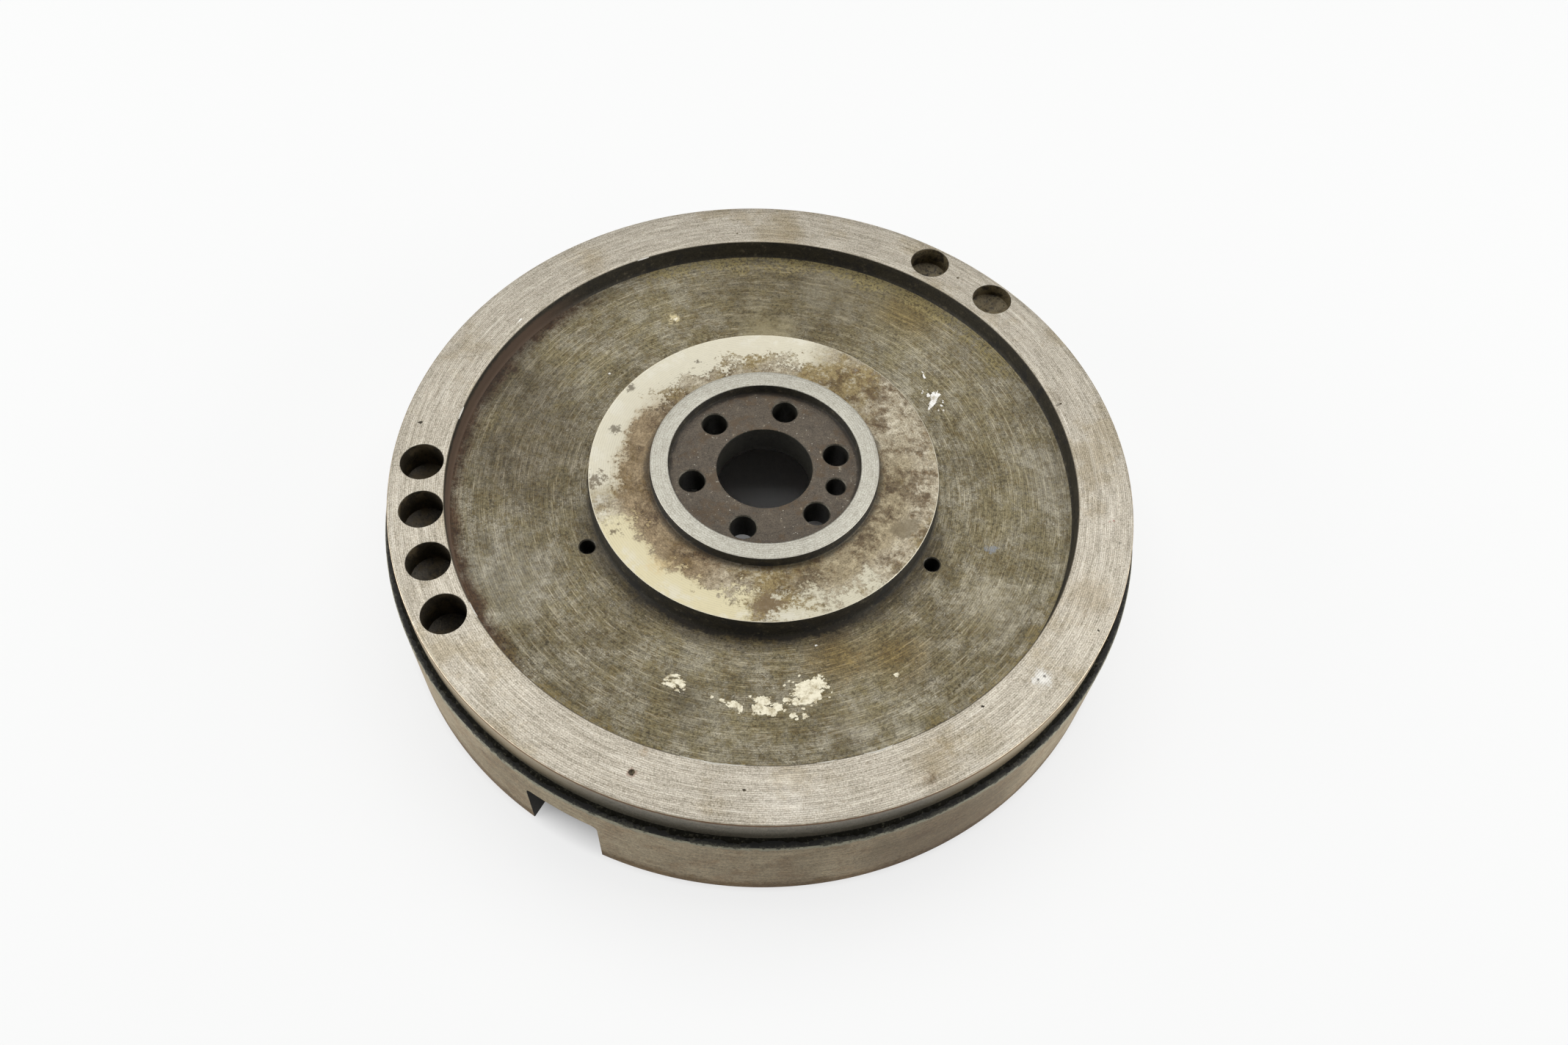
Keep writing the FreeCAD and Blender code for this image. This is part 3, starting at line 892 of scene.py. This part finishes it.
# something hard knocked the sharp inner edge and left a small bright flat
def nickCutter(name, angle, depth):
    curve, reach, rings = wear["nickCurve"], wear["nickReach"], wear["nickRings"]
    steps = [reach * (1 - step / rings) for step in range(rings + 1)]
    outline = [(0, wear["nickHeight"]), (reach + 1, wear["nickHeight"])]
    outline += [(r, curve - math.sqrt(curve ** 2 - r ** 2)) for r in steps]
    cutter = turnedCutter(name, outline, ["bright"] * (len(outline) - 1), wear["nickSides"])
    lean = Matrix.Rotation(math.radians(-45), 4, "Y")
    turn = Matrix.Rotation(math.radians(angle), 4, "Z")
    into = (circlePoint(angle, 1, 0) - Vector((0, 0, 1))).normalized() * depth
    edge = circlePoint(angle, rimInner, rimTop)
    cutter.data.transform(Matrix.Translation((edge + into) * mm) @ turn @ lean)
    return cutter


def wearCutters():
    cutters = [dentCutter("dent%d" % index, size, circlePoint(angle, radius, rimTop))
               for index, (angle, radius, size) in enumerate(wear["dents"])]
    return cutters + [nickCutter("nick%d" % index, *nick) for index, nick in enumerate(wear["nicks"])]


def cutAway(body, cutters):
    for cutter in cutters:
        modifier = body.modifiers.new("cut", "BOOLEAN")
        modifier.operation = "DIFFERENCE"
        modifier.solver = "MANIFOLD"
        modifier.object = cutter
        modifier.material_mode = "TRANSFER"
    graph = bpy.context.evaluated_depsgraph_get()
    cutMesh = bpy.data.meshes.new_from_object(body.evaluated_get(graph))
    body.modifiers.clear()
    turnedMesh = body.data
    body.data = cutMesh
    bpy.data.meshes.remove(turnedMesh)
    for cutter in cutters:
        bpy.data.objects.remove(cutter)


castingBody = turnedCasting()
cutAway(castingBody, holeCutters() + wearCutters())
finishPiece(castingBody, casting["sharpAngle"])
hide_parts("flywheel_body")
print("casting turned and cut:", len(castingBody.data.polygons), "faces")


# thin pieces of paint that lie on the iron
flakes = {
    "thickness": 0.14,
    "thicknessStep": 0.04,  # pieces differ a little in thickness, so that no two tops lie in one plane
    "thicknesses": 9,
    "sunk": 0.06,
    "sides": 84,
    "crumbs": 0.3,          # crumbs for each square millimetre of flake
    "crumbSizes": (0.3, 1.0),
    "crumbSides": 14,
    "sharpAngle": 60,
    # each piece: angle, radius, length round the shaft, width across, lean
    "places": (
        (282.3, 96.0, 10.6, 8.2, 8), (285.6, 93.2, 3.2, 5.5, 30), (279.4, 99.4, 3.0, 3.2, 0),
        (272.4, 98.6, 5.8, 4.2, 10), (273.6, 102.4, 6.5, 4.0, -5), (271.2, 101.6, 3.2, 3.5, 0),
        (275.6, 100.8, 3.8, 2.8, 0), (277.6, 98.2, 2.8, 1.8, 0), (278.6, 104.8, 2.8, 2.0, 0),
        (280.9, 105.4, 2.2, 2.2, 0), (266.2, 100.4, 4.2, 2.5, 10), (267.8, 102.4, 2.0, 3.0, 0),
        (263.6, 99.6, 2.0, 1.2, 0), (261.4, 99.0, 1.1, 1.1, 0), (252.0, 94.6, 4.2, 1.2, 15),
        (253.2, 96.4, 5.5, 2.0, 8), (252.2, 98.4, 4.0, 1.8, 0), (254.4, 97.6, 2.0, 1.8, 0),
        (250.4, 97.2, 1.5, 1.2, 0), (253.8, 99.8, 1.8, 1.0, 0), (302.5, 100.4, 1.9, 1.5, 0),
        (287.2, 95.6, 1.4, 1.2, 0), (269.6, 96.8, 1.2, 1.0, 0), (116.8, 96.6, 2.5, 1.5, 20),
    ),
    "chips": (
        (34.4, 87.0, 10.0, 3.2, -52), (36.4, 86.0, 1.8, 1.6, 0), (42.4, 91.5, 2.8, 0.9, -30),
        (43.6, 92.6, 1.1, 0.6, 0), (142.6, 87.3, 0.9, 0.8, 0), (147.0, 131.2, 3.4, 0.5, 5),
        (287.5, 77.6, 1.0, 0.6, 0),
    ),
    "flakeSeed": 3,
    "chipSeed": 61,
}


# a thin plate with a torn outline, highest inside and feathered to its edge
def flakePlate(points, faces, place, seed, sides):
    angle, radius, length, width, lean = place
    first = len(points)
    centre = circlePoint(angle, radius, rimTop if radius > rimInner else webLevel)
    turn = math.radians(angle + 90 + lean)
    along, across = Vector((math.cos(turn), math.sin(turn), 0)), Vector((-math.sin(turn), math.cos(turn), 0))
    thickness = flakes["thickness"] * (1 + flakes["thicknessStep"] * (seed % flakes["thicknesses"]))
    # rings from the foot inwards: share of the outline, height
    rings = ((1.0, -flakes["sunk"]), (1.0, 0.45 * thickness), (0.86, thickness), (0.5, 0.9 * thickness))
    for share, height in rings:
        for side in range(sides):
            spin = 2 * math.pi * side / sides
            # broad lobes, with notches of two sizes torn out of them
            spot = Vector((math.cos(spin), math.sin(spin), seed * 7.3))
            torn = (1.2 + 0.5 * noise.noise(spot * 1.1) - 0.55 * abs(noise.noise(spot * 3.1))
                    - 0.35 * abs(noise.noise(spot * 8.0)))
            square = (abs(math.cos(spin)) ** 3 + abs(math.sin(spin)) ** 3) ** (-1 / 3)
            reach = max(0.25, torn) * square * share / 2
            points.append(centre + along * length * reach * math.cos(spin)
                          + across * width * reach * math.sin(spin) + Vector((0, 0, height)))
    points.append(centre + Vector((0, 0, rings[-1][1])))
    for ring in range(len(rings) - 1):
        for side in range(sides):
            here, after = first + ring * sides + side, first + ring * sides + (side + 1) % sides
            faces.append((here, after, after + sides, here + sides))
    inner = first + (len(rings) - 1) * sides
    faces += [(inner + side, inner + (side + 1) % sides, len(points) - 1) for side in range(sides)]
    faces.append(tuple(first + side for side in reversed(range(sides))))


# crumbs of the same paint lie round each flake
def crumbsAround(places, seed):
    draw, made = random.Random(seed), []
    for angle, radius, length, width, lean in places:
        for crumb in range(round(length * width * flakes["crumbs"])):
            spin, reach = draw.uniform(0, 2 * math.pi), draw.uniform(0.4, 0.95)
            size = draw.uniform(*flakes["crumbSizes"])
            around, outward = length * reach * math.cos(spin), width * reach * math.sin(spin)
            made.append((angle + math.degrees(around / radius), radius + outward, size * 1.5, size,
                         draw.uniform(-40, 40)))
    return made


def addFlakes(name, places, material, seed):
    plates = [(place, flakes["sides"]) for place in places]
    plates += [(crumb, flakes["crumbSides"]) for crumb in crumbsAround(places, seed)]
    points, faces = [], []
    for index, (place, sides) in enumerate(plates):
        flakePlate(points, faces, place, seed + index, sides)
    finishPiece(solidObject(name, points, faces, [material]), flakes["sharpAngle"])


# a dried coat: a main colour, a second one where a pattern is strong, and lumps of its own
def driedCoat(name, main, second, where, most, roughness, lumps, lumpHeight, specular=0.5):
    surface = newSurface(name, 0.0, roughness)
    surface["shader"].inputs["Specular IOR Level"].default_value = specular
    patternName, low, high = where
    mask = addNode(surface["tree"], "ShaderNodeMapRange", {"From Min": low, "From Max": high, "To Max": most},
                   {"Value": pattern(surface, patternName)})
    mixed = addNode(surface["tree"], "ShaderNodeMix",
                    {"data_type": "RGBA", 6: linearColour(main), 7: linearColour(second)},
                    {0: mask.outputs[0]})
    return finishSurface(surface, mixed.outputs[2], pattern(surface, lumps), lumpHeight)


# emulsion paint, splashed on and left: matt cream with brown dust in it
dusty = {"where": ("mottle", 0.46, 0.62), "most": 0.8, "roughness": 0.75, "lumps": "grain", "lumpHeight": 0.08}
addFlakes("creamPaintFlakes", flakes["places"],
          driedCoat("driedCreamPaint", "#e9e2c9", "#9a8b66", **dusty), flakes["flakeSeed"])
# chalky enamel, chipped off something else: whiter, with the same dust
addFlakes("whiteChips", flakes["chips"],
          driedCoat("chalkyWhiteChip", "#f6f4ee", "#b0a58e", **dusty), flakes["chipSeed"])
print("paint flakes added")


grime = {
    "segments": 1440,
    "onShoulder": 1.3,
    "onShoulderSwing": 1.3,
    "leastOnShoulder": 0.5,
    "edgeLeft": 0.3,        # bare iron left at the shoulder's outer edge
    "upSeat": 0.45,
    "upSeatSwing": 0.45,
    "leastUpSeat": 0.25,
    "sunk": 0.12,
    "coarseLump": 9.0,
    "riseLump": 6.0,
    "fineLump": 1.6,
    "sharpAngle": 70,
}


# fills the corner above the shoulder, thick here and thin there
def addShoulderGrime(material):
    segments, sunk = grime["segments"], grime["sunk"]
    inside = reliefRadius - sunk
    points = []
    for step in range(segments):
        turn = 2 * math.pi * step / segments
        spot = Vector((math.cos(turn), math.sin(turn), 0)) * seatRadius
        coarse = noise.noise(spot / grime["coarseLump"])
        fine = noise.noise(spot / grime["fineLump"] + Vector((0, 0, 5)))
        climb = noise.noise(spot / grime["riseLump"] + Vector((0, 0, 9)))
        reach = grime["onShoulder"] + grime["onShoulderSwing"] * (coarse + 0.6 * fine)
        rise = grime["upSeat"] + grime["upSeatSwing"] * (climb + 0.5 * fine)
        reach = min(max(reach, grime["leastOnShoulder"]), skirtRadius - seatRadius - grime["edgeLeft"])
        # foot, toe, lumpy back, heel against the seat, and back into the relief
        section = [(inside, shoulder - sunk), (seatRadius + reach, shoulder - sunk),
                   (seatRadius + reach * 0.9, shoulder + 0.12 + 0.1 * fine),
                   (seatRadius + reach * 0.5, shoulder + 0.5 + 0.35 * fine + 0.3 * coarse),
                   (seatRadius + 0.22, reliefTop + rise * 0.4),
                   (seatRadius - sunk, reliefTop + max(rise, grime["leastUpSeat"])),
                   (inside, reliefTop - 0.3)]
        points += [(r * math.cos(turn), r * math.sin(turn), z) for r, z in section]
    body = solidObject("shoulderGrime", points, ringFaces(segments, len(section)), [material])
    finishPiece(body, grime["sharpAngle"])


# caked oil and dust: nearly black, matt and lumpy, with paler grit stuck in it
addShoulderGrime(driedCoat("cakedOilAndDust", "#15140e", "#5b584a", ("speckle", 0.54, 0.74), 0.6, 0.8,
                           "speckle", 0.25, specular=0.06))
print("shoulder grime added")


# centreless ground and then lightly handled: bright, with fine grey lines and a few tan spots
groundSteel = agedIron(
    "centrelessGroundSteel", "#c9c8c2", "#9d9b93", metallic=1.0, roughness=0.26, drawnOut=0, grainDepth=0.01,
    lineAmount=0.35, linePitch=0.3, lineDepth=0.004, lineColour="#807d75",
    layers=(fleck("#7c6a50", 0.5, ("mottle", 0.6, 0.7)),))
for materialSlot in frame["nodes"]["clutch_dowels"].material_slots:
    materialSlot.material = groundSteel
print("dowels finished")


studio = {
    "floorSize": 8000.0,
    "paperWhite": "#fafafa",
    "floorPaint": "#6b6c6b",
    "floorGlow": 0.78,
    "footShade": 2.0,       # how far the painted shadow under the casting reaches out past its foot
    "farGlow": 0.9,         # past the softboxes the table glows more, so that it has no edge against the room
    "farStart": 800.0,
    "farEnd": 1500.0,
    "worldColour": "#ffffff",
    "worldLight": 0.12,
    "worldSeen": 0.93,
}


# a glowing white table with a painted shadow: it glows everywhere but beneath the casting and just past its
# foot, where only the light through the holes falls
def addFloor():
    half = studio["floorSize"] / 2
    corners = [(-half, -half, 0), (half, -half, 0), (half, half, 0), (-half, half, 0)]
    floor = solidObject("studioFloor", corners, [(0, 1, 2, 3)])
    surface = newSurface("litWhiteTable", 0.0, 0.9)
    tree, shader = surface["tree"], surface["shader"]
    fromShaft = shaftPlace(surface, "radius")
    # the glow fades out from the lip to just past the foot: a painted shadow under the casting
    outside = addNode(tree, "ShaderNodeMapRange",
                      {"From Min": lipInner, "From Max": skirtRadius + studio["footShade"]},
                      {"Value": fromShaft})
    paint = addNode(tree, "ShaderNodeMix",
                    {"data_type": "RGBA", 6: linearColour(studio["paperWhite"]),
                     7: linearColour(studio["floorPaint"])}, {0: outside.outputs[0]})
    far = addNode(tree, "ShaderNodeMapRange",
                  {"From Min": studio["farStart"], "From Max": studio["farEnd"],
                   "To Min": studio["floorGlow"], "To Max": studio["farGlow"]}, {"Value": fromShaft})
    glow = addNode(tree, "ShaderNodeMath", {"operation": "MULTIPLY"},
                   {0: outside.outputs[0], 1: far.outputs[0]})
    shader.inputs["Emission Color"].default_value = (1, 1, 1, 1)
    shader.inputs["Specular IOR Level"].default_value = 0.2
    tree.links.new(paint.outputs[2], shader.inputs["Base Color"])
    tree.links.new(glow.outputs[0], shader.inputs["Emission Strength"])
    floor.data.materials.append(surface["material"])


# the room is white to the eye and dim as a light, so that walls turned away from the softboxes stay dark
def addWorld():
    world = bpy.data.worlds.new("studioWorld")
    world.use_nodes = True
    tree = world.node_tree
    rays = addNode(tree, "ShaderNodeLightPath")
    strength = addNode(tree, "ShaderNodeMapRange",
                       {"To Min": studio["worldLight"], "To Max": studio["worldSeen"]},
                       {"Value": rays.outputs["Is Camera Ray"]})
    background = tree.nodes["Background"]
    background.inputs["Color"].default_value = linearColour(studio["worldColour"])
    tree.links.new(strength.outputs[0], background.inputs["Strength"])
    bpy.context.scene.world = world


# places, aims and sizes in metres, power in watts
softboxes = {
    "overheadSoftbox": {"place": (0, 0.56, 1.48), "aim": (0, 0, 0), "size": (2.1, 1.1), "power": 25.5},
    "leftSoftbox": {"place": (-1.3, -0.25, 0.42), "aim": (0, 0, 0.03), "size": (1.2, 0.9), "power": 13},
    "rightSoftbox": {"place": (1.3, -0.25, 0.42), "aim": (0, 0, 0.03), "size": (1.2, 0.9), "power": 13},
}


def addSoftbox(name, place, aim, size, power):
    light = bpy.data.lights.new(name, "AREA")
    light.shape = "RECTANGLE"
    light.size, light.size_y = size
    light.energy = power
    lamp = bpy.data.objects.new(name, light)
    lamp.location = place
    lamp.rotation_euler = (Vector(aim) - Vector(place)).to_track_quat("-Z", "Y").to_euler()
    bpy.context.scene.collection.objects.link(lamp)


cameraSettings = {
    "lens": 29.87,
    "sensor": 36.0,
    "nearest": 0.01,        # metres
    "behind": 305.9,        # millimetres from the shaft towards the viewer
    "above": 431.3,         # millimetres above the rim top
    "tilt": 56.94,          # degrees below level
    "pan": 0.985,
    "roll": 3.157,
}


def addCamera():
    camera = bpy.data.objects.new("camera", bpy.data.cameras.new("camera"))
    camera.data.lens = cameraSettings["lens"]
    camera.data.sensor_width = cameraSettings["sensor"]
    camera.data.clip_start = cameraSettings["nearest"]
    camera.location = Vector((0, -cameraSettings["behind"], rimTop + cameraSettings["above"])) * mm
    tilt, pan, roll = (math.radians(cameraSettings[key]) for key in ("tilt", "pan", "roll"))
    forward = Vector((0, math.cos(tilt), -math.sin(tilt)))
    up = Vector((0, math.sin(tilt), math.cos(tilt)))
    right = Vector((1, 0, 0))
    aimed = forward * math.cos(pan) + right * math.sin(pan)
    side = right * math.cos(pan) - forward * math.sin(pan)
    rolledSide = side * math.cos(roll) + up * math.sin(roll)
    rolledUp = up * math.cos(roll) - side * math.sin(roll)
    camera.rotation_euler = Matrix((rolledSide, rolledUp, -aimed)).transposed().to_euler()
    bpy.context.scene.collection.objects.link(camera)
    bpy.context.scene.camera = camera


addFloor()
addWorld()
for name, softbox in softboxes.items():
    addSoftbox(name, **softbox)
addCamera()
bpy.context.scene.view_settings.view_transform = "Standard"
print("studio ready")
